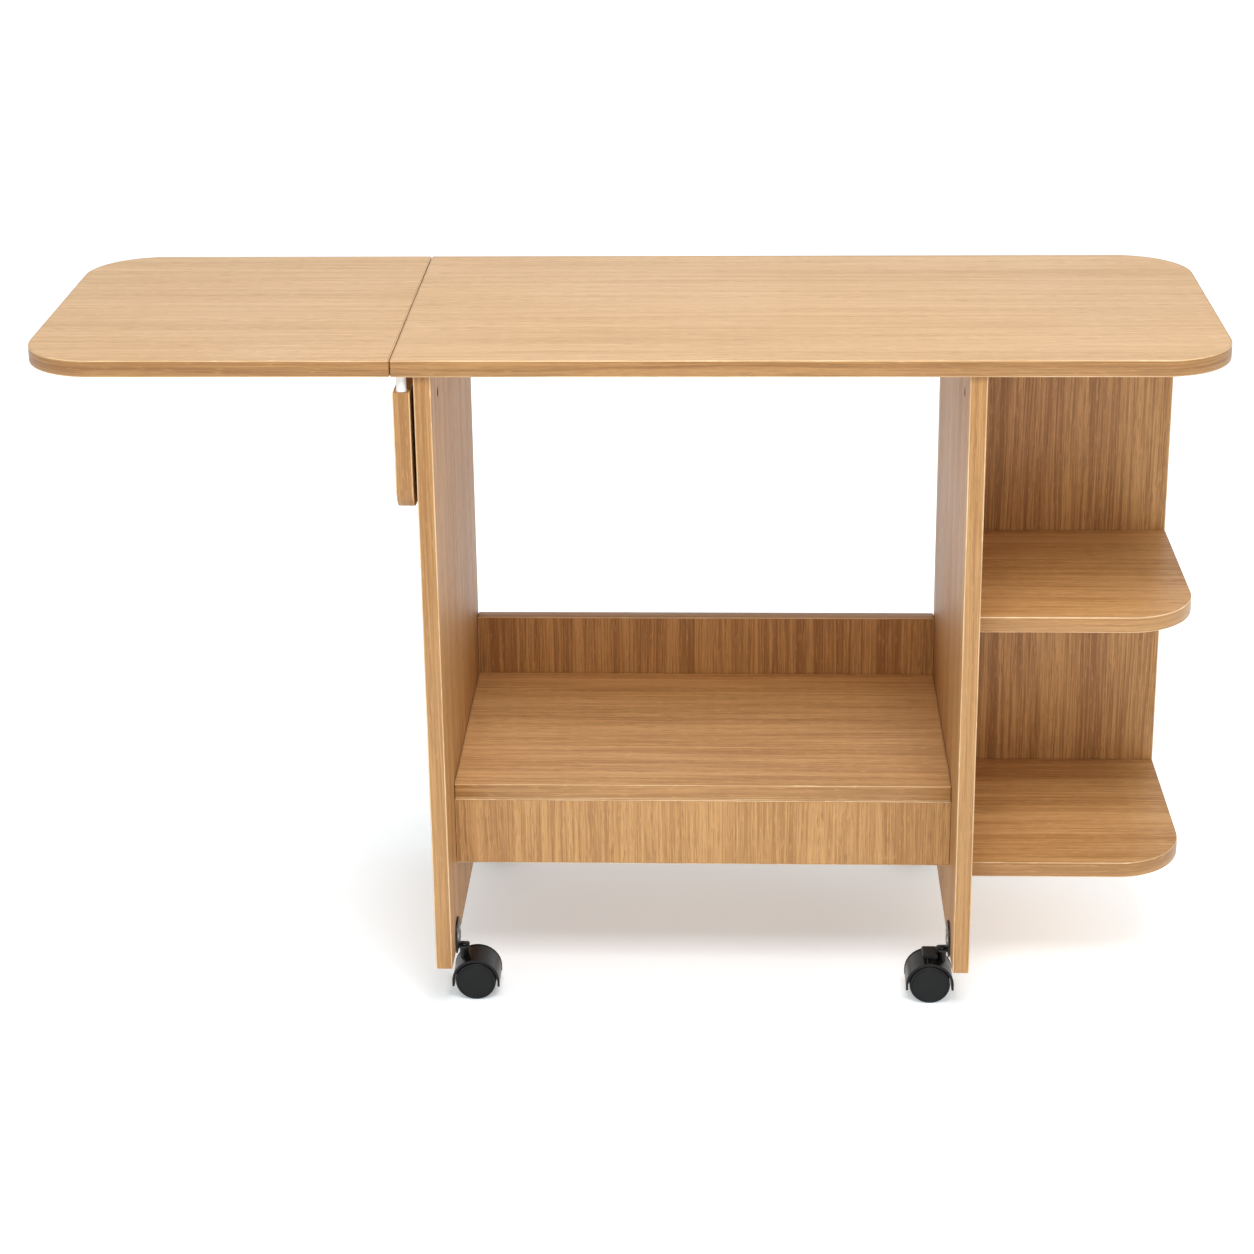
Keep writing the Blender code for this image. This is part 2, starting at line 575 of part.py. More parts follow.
def build_casters():
    head_low = TAB_BOTTOM_Z + BRACKET_SHEET + FIT_GAP
    stem_profile = [
        (0, STEM_BOTTOM_Z),
        (STEM_RADIUS, STEM_BOTTOM_Z),
        (STEM_RADIUS, head_low),
        (RIVET_HEAD_RADIUS, head_low),
        (RIVET_TOP_RADIUS, head_low + RIVET_HEAD_HEIGHT),
        (0, head_low + RIVET_HEAD_HEIGHT),
    ]
    stem = mesh_from(lathe(stem_profile, PIN_SIDES), "stem")
    bracket = bracket_mesh()
    wheel = wheel_mesh()
    axle = mesh_from(prism(circle((0, 0), AXLE_RADIUS, PIN_SIDES),
                           -AXLE_HALF_LENGTH, AXLE_HALF_LENGTH, "y"), "axle")
    hoods = {False: hood_mesh(False), True: hood_mesh(True)}
    rocker = rocker_mesh()
    front_y = PANEL_FRONT_Y + FRONT_CASTER_SETBACK
    back_y = PANEL_BACK_Y - BACK_CASTER_SETBACK
    left_x = LEFT_PANEL_INNER_X + SWIVEL_INSET
    right_x = RIGHT_PANEL_INNER_X - SWIVEL_INSET
    corners = [
        ("front_left", left_x, front_y, 0.0, False),
        ("front_right", right_x, front_y, math.pi, True),
        ("back_left", left_x, back_y, 0.0, True),
        ("back_right", right_x, back_y, math.pi, False),
    ]
    for corner, x, y, turn, braked in corners:
        swivel = pivot("swivel_" + corner, (x, y, 0), turn)
        place("caster_bracket_" + corner, bracket.copy(), "bracket_steel", (x, y, 0), turn=turn)
        place("caster_stem_" + corner, stem.copy(), "bracket_steel", (x, y, 0), smooth=True)
        place("caster_hood_" + corner, hoods[braked].copy(), "hood_plastic", parent=swivel, smooth=True)
        axle_at = (CASTER_TRAIL, 0, WHEEL_RADIUS)
        place("caster_axle_" + corner, axle.copy(), "axle_steel", axle_at, swivel, smooth=True)
        for side, half_turn in (("a", 0.0), ("b", math.pi)):
            place("caster_wheel_{}_{}".format(corner, side), wheel.copy(), "wheel_plastic",
                  axle_at, swivel, half_turn, smooth=True)
        if braked:
            place("brake_rocker_" + corner, rocker.copy(), "rocker_plastic",
                  (CASTER_TRAIL, 0, ROCKER_PIVOT_Z), swivel)


def build():
    clear_scene()
    leaf_pivot = pivot("leaf_pivot", (SEAM_X, 0, LEAF_AXIS_Z))
    arm_pivot = pivot("arm_pivot", (ARM_AXIS_X, ARM_AXIS_Y, 0))
    build_top(leaf_pivot)
    build_side_panels()
    build_low_shelf()
    build_end_unit()
    build_support_arm(arm_pivot)
    build_leaf_hinges(leaf_pivot)
    build_casters()


build()
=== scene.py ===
"""Visual model of the folding sewing table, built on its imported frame.

Metres, +Z up, +X towards the open shelves, -Y towards the person sewing.
"""

import json
import math

import bmesh
import bpy
from mathutils import Matrix, Vector

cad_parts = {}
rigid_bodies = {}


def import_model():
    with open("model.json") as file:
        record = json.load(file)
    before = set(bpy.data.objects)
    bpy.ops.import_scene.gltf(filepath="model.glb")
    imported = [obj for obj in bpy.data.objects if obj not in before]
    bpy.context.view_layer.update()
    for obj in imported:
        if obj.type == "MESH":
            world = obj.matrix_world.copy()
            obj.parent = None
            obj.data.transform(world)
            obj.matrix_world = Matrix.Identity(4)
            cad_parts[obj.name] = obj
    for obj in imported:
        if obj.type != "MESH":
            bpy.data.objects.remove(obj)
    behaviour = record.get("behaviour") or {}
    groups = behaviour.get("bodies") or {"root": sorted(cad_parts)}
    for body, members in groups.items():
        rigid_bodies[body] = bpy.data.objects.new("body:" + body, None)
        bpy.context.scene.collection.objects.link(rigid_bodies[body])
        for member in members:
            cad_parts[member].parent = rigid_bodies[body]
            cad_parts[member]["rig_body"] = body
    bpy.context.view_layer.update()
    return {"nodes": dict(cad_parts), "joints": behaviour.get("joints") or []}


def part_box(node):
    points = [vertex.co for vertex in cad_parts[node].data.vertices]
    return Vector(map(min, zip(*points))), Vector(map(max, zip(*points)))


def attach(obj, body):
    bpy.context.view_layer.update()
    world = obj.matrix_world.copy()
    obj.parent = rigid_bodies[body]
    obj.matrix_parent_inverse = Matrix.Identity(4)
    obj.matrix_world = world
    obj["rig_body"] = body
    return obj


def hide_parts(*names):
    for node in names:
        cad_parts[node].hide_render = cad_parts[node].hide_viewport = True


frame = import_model()

# Boards
TOP_CORNER = 0.078
SHELF_CORNER = 0.076
ARM_CORNER = 0.025
SHARP_CORNER = 0.0018
EDGE_RADIUS = 0.0012
EDGE_STEPS = 3
GLUE_LINE = 0.0003
TINY = 0.00002
BIG_CORNER_STEPS = 20
SHARP_CORNER_STEPS = 3

# Cam locks, screws and hinges
CAM_SINK = 0.0012
CAM_BORE_PLAY = 0.0004
CAM_LIP = 0.0004
CAM_RING = 0.0011
CAM_RING_FOOT = 0.0014
SCREW_RIM_SINK = 0.0002
FLAP_CORNER = 0.0035
PIN_RADIUS = 0.0013
BARREL_RADIUS = 0.0030
BARREL_SIDES = 32
HINGE_SCREW_RADIUS = 0.0032
PLATE_SCREW_RADIUS = 0.0034
RECESS_DEPTH = 0.0009
CAM_TWIST = 20
CAM_SIDES = 48
SCREW_SIDES = 32
STOPPER_SIDES = 64
PIN_SIDES = 24

# Cross recess blades: half width and reach as shares of the head's radius, and their spread at each end
BLADE_HALF = 0.17
BLADE_REACH = 0.62
BLADE_TAPER = ((1, 1.25), (-1, 0.55))

# Stopper's foot, collar and rounded crown
STOPPER_FLANGE = 0.0015
STOPPER_COLLAR = 0.0020
STOPPER_CHAMFER = 0.0004
STOPPER_CROWN = 0.0022

# Hinge flaps and knuckles
FLAP_THICKNESS = 0.0012
KNUCKLE_GAP = 0.00015
KNUCKLE_EASE = 0.0003
PIN_EASE = 0.0004
PIN_PLAY = 0.0001

# Places of a flap's two screws, as shares of its width and length
FLAP_SCREW_ACROSS = 0.62
FLAP_SCREWS_ALONG = (0.24, 0.76)
FLAP_SCREW_TWISTS = (35, 85)

# Casters
WHEEL_SIDES = 96
BOSS_SIDES = 48
RIVET_SIDES = 40
HOOD_STEPS = 48
HOOD_BAND = 0.0015
HOOD_RELIEF = 0.0005
HOOD_BORE = 0.0236
FIN_THICKNESS = 0.0020
STEP_Z = 0.0240
WEB_HALF = 0.0026
HUB_RADIUS = 0.0062
BOSS_RADIUS = 0.0050
SHEET = 0.0020
PLATE_CORNER = 0.0180
TAB_HALF = 0.0068
TAB_CORNER = 0.0040
NECK_HALF_LENGTH = 0.0032
NECK_HALF_WIDTH = 0.0078
NECK_TOP_Z = 0.0539
NECK_CORNER = 0.0012
RIB_TOP_Z = 0.0497
POCKET_PLAY = 0.0008
POCKET_TOP_Z = 0.0544
BEND_RADIUS = 0.0022
BEND_SINK = 0.0004
BEND_SETBACK = 0.001
PLATE_FOOT = 0.002
PEDAL_CORNERS = (0.0010, 0.0010, 0.0019, 0.0019)
POCKET_OVERCUT = 0.001
POCKET_END_PLAY = 0.0003
RIB_SETBACK = 0.0002
NECK_ROOT = 0.003
WHEEL_SHOULDER = 0.0020
WHEEL_HOLLOW = 0.0004
WHEEL_HUB_SHARE = 0.40
WHEEL_RING_SHARE = 0.46
TREAD_EASE = 0.0010
TREAD_CHAMFER = 0.0003
BOSS_EASE = 0.0006
BOSS_SINK = 0.003
PLATE_SCREW_DROP = 0.0160
PLATE_SCREW_OFFSETS = (-0.0100, 0.0100)
PLATE_SCREW_TWISTS = (15, 75)
PLATE_SCREW_DOME = 0.0011
HINGE_SCREW_DOME = 0.0003
RIVET_HEAD = 0.0018
RIVET_EDGE = 0.0005
RIVET_NECK = 0.0030

# Wheel face from its groove to the middle: share of the radius, depth below the outer face
WHEEL_FACE = (
    (0.885, 0.00095),
    (0.870, 0.00125),
    (0.850, 0.00125),
    (0.835, 0.00085),
    (0.700, 0.00050),
    (0.500, 0.00022),
    (0.250, 0.00005),
    (0, 0),
)

# Rounded edges
SHARP_ANGLE = math.radians(40)
SOFT_SEGMENTS = 2
FLAP_SOFTNESS = 0.0002
MOULDED_SOFTNESS = 0.0003

AXES = {"x": 0, "y": 1, "z": 2}


# Shader nodes

def set_range(node, low, high, new_low, new_high):
    """Fill in a map range node."""
    for name, number in (("From Min", low), ("From Max", high), ("To Min", new_low), ("To Max", new_high)):
        node.inputs[name].default_value = number


class Look:
    """One material with its Principled shader, and short calls for the nodes that feed it."""

    def __init__(self, name, roughness=0.5, metallic=0.0, specular=0.5):
        self.material = bpy.data.materials.new(name)
        self.material.use_nodes = True
        self.tree = self.material.node_tree
        self.shader = self.tree.nodes["Principled BSDF"]
        self.shader.inputs["Roughness"].default_value = roughness
        self.shader.inputs["Metallic"].default_value = metallic
        self.shader.inputs["Specular IOR Level"].default_value = specular

    def link(self, output, socket):
        self.tree.links.new(output, socket)

    def put(self, value, socket):
        """Give a socket a number, a colour or another node's output."""
        if isinstance(value, bpy.types.NodeSocket):
            self.link(value, socket)
        else:
            socket.default_value = value

    def grain(self):
        """Metres along the grain and across it."""
        node = self.tree.nodes.new("ShaderNodeUVMap")
        node.uv_map = "Grain"
        return node.outputs["UV"]

    def place(self):
        return self.tree.nodes.new("ShaderNodeTexCoord").outputs["Object"]

    def scaled(self, vector, scale):
        node = self.tree.nodes.new("ShaderNodeMapping")
        node.inputs["Scale"].default_value = scale
        self.link(vector, node.inputs["Vector"])
        return node.outputs["Vector"]

    def noise(self, vector, scale, detail=2.0, roughness=0.5):
        node = self.tree.nodes.new("ShaderNodeTexNoise")
        node.inputs["Scale"].default_value = 1.0
        node.inputs["Detail"].default_value = detail
        node.inputs["Roughness"].default_value = roughness
        self.link(self.scaled(vector, scale), node.inputs["Vector"])
        return node.outputs["Fac"]

    def maths(self, first, second, operation="ADD"):
        """The sum, or another operation, of two numbers or node outputs."""
        node = self.tree.nodes.new("ShaderNodeMath")
        node.operation = operation
        self.put(first, node.inputs[0])
        self.put(second, node.inputs[1])
        return node.outputs["Value"]

    def remap(self, value, low, high, new_low=0.0, new_high=1.0):
        node = self.tree.nodes.new("ShaderNodeMapRange")
        node.interpolation_type = "SMOOTHSTEP"
        set_range(node, low, high, new_low, new_high)
        self.link(value, node.inputs["Value"])
        return node.outputs["Result"]

    def blend(self, factor, first, second, mode="MIX"):
        node = self.tree.nodes.new("ShaderNodeMix")
        node.data_type = "RGBA"
        node.blend_type = mode
        self.put(factor, node.inputs[0])
        self.put(first, node.inputs[6])
        self.put(second, node.inputs[7])
        return node.outputs[2]

    def drifted(self, vector, amount):
        """The grain coordinates with a slow sideways drift, so that no line runs dead straight."""
        drift = self.noise(vector, DRIFT_SCALE, 1.0)
        shift = self.remap(drift, 0.25, 0.75, -amount, amount)
        join = self.tree.nodes.new("ShaderNodeCombineXYZ")
        self.link(shift, join.inputs["Y"])
        add = self.tree.nodes.new("ShaderNodeVectorMath")
        add.operation = "ADD"
        self.link(vector, add.inputs[0])
        self.link(join.outputs["Vector"], add.inputs[1])
        return add.outputs["Vector"]

    def bump(self, height, strength, distance):
        node = self.tree.nodes.new("ShaderNodeBump")
        node.inputs["Strength"].default_value = strength
        node.inputs["Distance"].default_value = distance
        self.link(height, node.inputs["Height"])
        self.link(node.outputs["Normal"], self.shader.inputs["Normal"])


def rgba(colour):
    return (*colour, 1.0)


def tinted(colour, share, lift=0.0):
    """The colour made lighter or darker by a share, with a lift towards grey."""
    return rgba([min(1.0, share * part + lift) for part in colour])


# Oak grain, in cycles per metre along it and across it
DRIFT_SCALE = (1.6, 11.0, 1.0)
BROAD_SCALE = (0.7, 24.0, 1.0)
MIDDLE_SCALE = (1.8, 120.0, 1.0)
FINE_SCALE = (7.0, 520.0, 1.0)
FLECK_SCALE = (60.0, 420.0, 1.0)
PORE_SCALE = (42.0, 980.0, 1.0)
PORE_GROUP_SCALE = (1.6, 70.0, 1.0)
DRIFT = 0.0030
BROAD_SHARE = 0.24
MIDDLE_SHARE = 0.34
FINE_SHARE = 0.42
TONE_SPREAD = 0.15
PORE_DEPTH = 0.00010

# Grain of the other finishes, in cycles per metre
SMUDGE_SCALE = (3.0, 3.0, 3.0)
CHIP_SCALE = (900.0, 900.0, 900.0)
SPARK_SCALE = (2600.0, 2600.0, 2600.0)
PLASTIC_MOTTLE_SCALE = (60.0, 60.0, 60.0)
SCUFF_SCALE = (380.0, 90.0, 240.0)
METAL_MOTTLE_SCALE = (160.0, 160.0, 160.0)
CHIP_DARK = (0.10, 0.055, 0.025)
CHIP_LIGHT = (0.34, 0.20, 0.10)
CHIP_DEPTH = 0.0002
SPARK_DEPTH = 0.00006
ROLLING_DEPTH = 0.00003
PLASTIC_SPECULAR = 0.26


def oak(name, light, dark, pore, streaks, pores, roughness):
    """Rift-cut oak laminate: broad tone bands, fine streaks, short dark pores and pale flecks."""
    look = Look(name, roughness)
    grain = look.drifted(look.grain(), DRIFT)
    broad = look.noise(grain, BROAD_SCALE, 2.0)
    middle = look.noise(grain, MIDDLE_SCALE, 3.0, 0.65)
    fine = look.noise(grain, FINE_SCALE, 3.0, 0.70)
    broad_part = look.maths(broad, BROAD_SHARE, "MULTIPLY")
    wide = look.maths(broad_part, look.maths(middle, MIDDLE_SHARE, "MULTIPLY"))
    tone = look.maths(wide, look.maths(fine, FINE_SHARE, "MULTIPLY"))
    tone = look.remap(tone, 0.5 - TONE_SPREAD / streaks, 0.5 + TONE_SPREAD / streaks)
    colour = look.blend(tone, rgba(dark), rgba(light))
    fleck = look.remap(look.noise(grain, FLECK_SCALE, 1.0), 0.58, 0.72, 0.0, 0.40)
    colour = look.blend(fleck, colour, tinted(light, 1.14))
    cells = look.noise(grain, PORE_SCALE, 2.0, 0.6)
    groups = look.remap(look.noise(grain, PORE_GROUP_SCALE, 1.0), 0.35, 0.65, 0.35, 1.0)
    holes = look.remap(cells, 0.52, 0.66)
    holes = look.maths(holes, groups, "MULTIPLY")
    colour = look.blend(look.maths(holes, pores, "MULTIPLY"), colour, rgba(pore))
    smudge = look.noise(look.place(), SMUDGE_SCALE, 3.0)
    colour = look.blend(look.remap(smudge, 0.35, 0.65, 0.0, 0.06), colour, rgba(dark))
    look.link(colour, look.shader.inputs["Base Color"])
    shine = look.maths(look.remap(smudge, 0.3, 0.7, -0.04, 0.04), look.maths(holes, 0.12, "MULTIPLY"))
    look.link(look.maths(shine, roughness), look.shader.inputs["Roughness"])
    look.bump(look.maths(1.0, holes, "SUBTRACT"), 0.22, PORE_DEPTH)
    return look.material


def core(name):
    """Bare chipboard, in bores, and the thin dark glue line behind an edge band."""
    look = Look(name, 0.85)
    chips = look.noise(look.place(), CHIP_SCALE, 3.0, 0.7)
    look.link(look.blend(chips, rgba(CHIP_DARK), rgba(CHIP_LIGHT)), look.shader.inputs["Base Color"])
    look.bump(chips, 0.5, CHIP_DEPTH)
    return look.material


def moulded(name, colour, roughness, texture, scuffs):
    """Injection-moulded plastic with a fine spark-eroded texture and handling marks."""
    look = Look(name, roughness, specular=PLASTIC_SPECULAR)
    place = look.place()
    texture_height = look.noise(place, SPARK_SCALE, 2.0, 0.6)
    mottle = look.noise(place, PLASTIC_MOTTLE_SCALE, 3.0, 0.6)
    marks = look.remap(look.noise(place, SCUFF_SCALE, 3.0, 0.7), 0.58, 0.80, 0.0, scuffs)
    shade = look.blend(mottle, tinted(colour, 0.82), tinted(colour, 1.16))
    look.link(look.blend(marks, shade, tinted(colour, 2.2, 0.03)), look.shader.inputs["Base Color"])
    gloss = look.remap(mottle, 0.3, 0.7, roughness - 0.06, roughness + 0.06)
    look.link(look.maths(gloss, look.maths(marks, 0.4, "MULTIPLY")), look.shader.inputs["Roughness"])
    look.bump(texture_height, texture, SPARK_DEPTH)
    return look.material


def metal(name, colour, roughness, metallic, stretch):
    """Plated or painted steel with fine rolling lines along one direction and a mottled finish."""
    look = Look(name, roughness, metallic)
    place = look.place()
    lines = look.noise(place, stretch, 3.0, 0.7)
    mottle = look.noise(place, METAL_MOTTLE_SCALE, 3.0, 0.6)
    shade = look.blend(mottle, tinted(colour, 0.80), tinted(colour, 1.15))
    streaked = look.blend(look.remap(lines, 0.35, 0.65, 0.0, 0.25), shade, tinted(colour, 0.6))
    look.link(streaked, look.shader.inputs["Base Color"])
    gloss = look.remap(mottle, 0.3, 0.7, roughness - 0.07, roughness + 0.07)
    look.link(look.maths(gloss, look.remap(lines, 0.3, 0.7, -0.05, 0.08)), look.shader.inputs["Roughness"])
    look.bump(lines, 0.25, ROLLING_DEPTH)
    return look.material


TOP_LIGHT = (0.730, 0.475, 0.250)
TOP_DARK = (0.545, 0.320, 0.140)
PORE = (0.250, 0.120, 0.042)
BAND_LIGHT = (0.505, 0.268, 0.094)
BAND_DARK = (0.330, 0.152, 0.042)
TOP_BAND_LIGHT = (0.440, 0.228, 0.076)
TOP_BAND_DARK = (0.270, 0.118, 0.030)
# Painted highlight: the eased rims of every band are coloured lighter than the band, so they show as a bright
# line
RIM_PAINTED_HIGHLIGHT = (0.880, 0.640, 0.380)
PANEL_LIGHT = (0.560, 0.305, 0.110)
PANEL_DARK = (0.350, 0.162, 0.044)
SHELF_LIGHT = (0.735, 0.440, 0.188)
SHELF_DARK = (0.430, 0.208, 0.066)
BACK_LIGHT = (0.610, 0.325, 0.112)
BACK_DARK = (0.320, 0.140, 0.036)

LOOKS = {
    "oak_top": oak("oak_top_grain", TOP_LIGHT, TOP_DARK, PORE, 1.1, 0.40, 0.40),
    "oak_panel": oak("oak_panel_grain", PANEL_LIGHT, PANEL_DARK, PORE, 1.7, 0.75, 0.52),
    "oak_shelf": oak("oak_shelf_grain", SHELF_LIGHT, SHELF_DARK, PORE, 1.3, 0.55, 0.42),
    "oak_back": oak("oak_back_grain", BACK_LIGHT, BACK_DARK, PORE, 1.9, 0.75, 0.46),
    "band": oak("oak_edge_band", BAND_LIGHT, BAND_DARK, PORE, 1.6, 0.60, 0.38),
    "top_band": oak("oak_top_band", TOP_BAND_LIGHT, TOP_BAND_DARK, PORE, 1.8, 0.70, 0.40),
    # Rim look: a painted highlight, lighter than the edge band it rounds
    "rim": oak("oak_band_rim_painted_highlight", RIM_PAINTED_HIGHLIGHT, BAND_LIGHT, BAND_DARK, 1.0, 0.25, 0.40),
    "core": core("chipboard_core"),
    "hood_plastic": moulded("hood_black", (0.0040, 0.0037, 0.0032), 0.32, 0.30, 0.04),
    "wheel_plastic": moulded("wheel_black", (0.0050, 0.0052, 0.0057), 0.50, 0.35, 0.04),
    "rocker_plastic": moulded("rocker_black", (0.0065, 0.0065, 0.0065), 0.44, 0.30, 0.04),
    "stopper_plastic": moulded("stopper_white", (0.80, 0.79, 0.77), 0.38, 0.20, 0.0),
    "bracket_steel": metal("bracket_paint", (0.007, 0.007, 0.008), 0.34, 0.10, (60.0, 60.0, 900.0)),
    "axle_steel": metal("zinc_pin", (0.56, 0.56, 0.57), 0.34, 1.0, (900.0, 900.0, 60.0)),
    "hinge_steel": metal("hinge_plate", (0.63, 0.61, 0.57), 0.30, 1.0, (900.0, 900.0, 60.0)),
    "cam_zinc": metal("cam_cast", (0.16, 0.13, 0.11), 0.46, 0.7, (420.0, 420.0, 420.0)),
    "screw_steel": metal("screw_plate", (0.58, 0.57, 0.55), 0.28, 1.0, (500.0, 500.0, 500.0)),
}


# Mesh helpers

def finish_mesh(bm, name, smooth=True):
    bmesh.ops.recalc_face_normals(bm, faces=bm.faces)
    mesh = bpy.data.meshes.new(name)
    bm.to_mesh(mesh)
    bm.free()
    if smooth:
        mesh.shade_smooth()
        mesh.set_sharp_from_angle(angle=SHARP_ANGLE)
    return mesh


def add_piece(name, mesh, look, body):
    """A piece of the object, riding on a body; a mesh without materials gets the look."""
    piece = bpy.data.objects.new(name, mesh)
    bpy.context.scene.collection.objects.link(piece)
    if not mesh.materials:
        mesh.materials.append(LOOKS[look])
    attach(piece, body)
    return piece


def body_of(node):
    return frame["nodes"][node]["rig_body"]


def slot_of(node):
    return frame["nodes"][node].data.materials[0].name


def stand_in(node, mesh):
    """A finer piece in a CAD node's place."""
    slot = SLOTS[node]
    piece = add_piece(node + "_look", mesh, slot, body_of(node))
    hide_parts(node)
    return piece


def soften(piece, width):
    """Round the piece's sharp edges."""
    step = piece.modifiers.new("Rounded edges", "BEVEL")
    step.width = width
    step.segments = SOFT_SEGMENTS
    step.limit_method = "ANGLE"
    step.angle_limit = SHARP_ANGLE
    step.harden_normals = True
    return piece


def arc(centre, radius, start, end, steps):
    """Points on an arc, both ends included; the angles are in degrees."""
    points = []
    for step in range(steps + 1):
        angle = math.radians(start + (end - start) * step / steps)
        points.append((centre[0] + radius * math.cos(angle), centre[1] + radius * math.sin(angle)))
    return points


def rounded_outline(low, high, radii, inset=0.0):
    """Rectangle with rounded corners, from the low corner anticlockwise, drawn in by an inset."""
    corners = [
        (low[0], low[1], 1, 1, 180),
        (high[0], low[1], -1, 1, 270),
        (high[0], high[1], -1, -1, 0),
        (low[0], high[1], 1, -1, 90),
    ]
    points = []
    for (u, v, du, dv, start), radius in zip(corners, radii):
        steps = BIG_CORNER_STEPS if radius > SHARP_CORNER else SHARP_CORNER_STEPS
        left = max(radius - inset, TINY)
        reach = inset + left
        points.extend(arc((u + du * reach, v + dv * reach), left, start, start + 90, steps))
    return points


def prism(outline, low, high, axis):
    """Solid with the given outline, running from low to high along one axis."""
    order = {"x": (2, 0, 1), "y": (0, 2, 1), "z": (0, 1, 2)}[axis]
    bm = bmesh.new()
    rings = []
    for along in (low, high):
        ring = []
        for u, v in outline:
            given = (u, v, along)
            ring.append(bm.verts.new([given[index] for index in order]))
        rings.append(ring)
    bm.faces.new(rings[0])
    bm.faces.new(rings[1])
    for index in range(len(outline)):
        following = (index + 1) % len(outline)
        bm.faces.new((rings[0][index], rings[0][following], rings[1][following], rings[1][index]))
    return bm


def lathe(profile, sides, axis="z"):
    """Solid of revolution; profile is a chain of (radius, position along the axis)."""
    bm = bmesh.new()
    rings = []
    for radius, along in profile:
        if radius == 0:
            rings.append([bm.verts.new((0.0, 0.0, along))])
            continue
        ring = []
        for side in range(sides):
            angle = 2.0 * math.pi * side / sides
            ring.append(bm.verts.new((radius * math.cos(angle), radius * math.sin(angle), along)))
        rings.append(ring)
    spans = list(zip(rings, rings[1:]))
    if len(rings[0]) > 1:
        spans.append((rings[-1], rings[0]))
    for first, second in spans:
        for side in range(sides):
            following = (side + 1) % sides
            if len(first) == 1:
                bm.faces.new((first[0], second[side], second[following]))
            elif len(second) == 1:
                bm.faces.new((first[side], first[following], second[0]))
            else:
                bm.faces.new((first[side], first[following], second[following], second[side]))
    turn = {"x": Matrix.Rotation(math.radians(90), 4, "Y"), "y": Matrix.Rotation(math.radians(-90), 4, "X")}
    if axis in turn:
        bmesh.ops.transform(bm, matrix=turn[axis], verts=bm.verts)
    return bm


def moved(bm, offset):
    bmesh.ops.translate(bm, vec=Vector(offset), verts=bm.verts)
    return bm


def turned(bm, matrix):
    bmesh.ops.transform(bm, matrix=matrix, verts=bm.verts)
    return bm


def gathered(parts):
    """One bmesh that holds several closed parts of the same moulding."""
    whole = bmesh.new()
    for part in parts:
        bmesh.ops.recalc_face_normals(part, faces=part.faces)
        mesh = bpy.data.meshes.new("part")
        part.to_mesh(mesh)
        part.free()
        whole.from_mesh(mesh)
        bpy.data.meshes.remove(mesh)
    return whole


def cut_mesh(mesh, tools):
    """The mesh with each tool solid cut out of it."""
    scene = bpy.context.scene
    blank = bpy.data.objects.new("blank", mesh)
    scene.collection.objects.link(blank)
    helpers = []
    for tool in tools:
        helper = bpy.data.objects.new("tool", tool)
        scene.collection.objects.link(helper)
        helpers.append(helper)
        step = blank.modifiers.new("Cut", "BOOLEAN")
        step.operation = "DIFFERENCE"
        step.solver = "EXACT"
        step.object = helper
    result = bpy.data.meshes.new_from_object(blank.evaluated_get(bpy.context.evaluated_depsgraph_get()))
    for used in [blank] + helpers:
        bpy.data.objects.remove(used, do_unlink=True)
    result.set_sharp_from_angle(angle=SHARP_ANGLE)
    return result


# Boards

# Materials of a board's mesh; RIM is the eased edge, in a lighter look that paints a highlight line on it
FACE, BAND, RIM, CORE = range(4)

# Steps in the grain from board to board, between a board's two faces, and on to its edge bands
FACE_STEP = (3.7, 1.3)
SIDE_STEP = 7.0
BAND_STEP = (5.1, 0.9)
BAND_START = 20.0


def edge_profile(thickness):
    """(inset, height, material of the ring above), from the lower face round the edge to the upper face."""
    points = [(EDGE_RADIUS + GLUE_LINE, 0.0, CORE)]
    for step in range(EDGE_STEPS + 1):
        angle = math.radians(90 * step / EDGE_STEPS)
        points.append((EDGE_RADIUS * (1 - math.sin(angle)), EDGE_RADIUS * (1 - math.cos(angle)), RIM))
    points[-1] = (*points[-1][:2], BAND)
    for step in range(EDGE_STEPS + 1):
        angle = math.radians(90 * step / EDGE_STEPS)
        height = thickness - EDGE_RADIUS * (1 - math.sin(angle))
        points.append((EDGE_RADIUS * (1 - math.cos(angle)), height, RIM))
    points[-1] = (*points[-1][:2], CORE)
    points.append((EDGE_RADIUS + GLUE_LINE, thickness, FACE))
    return points


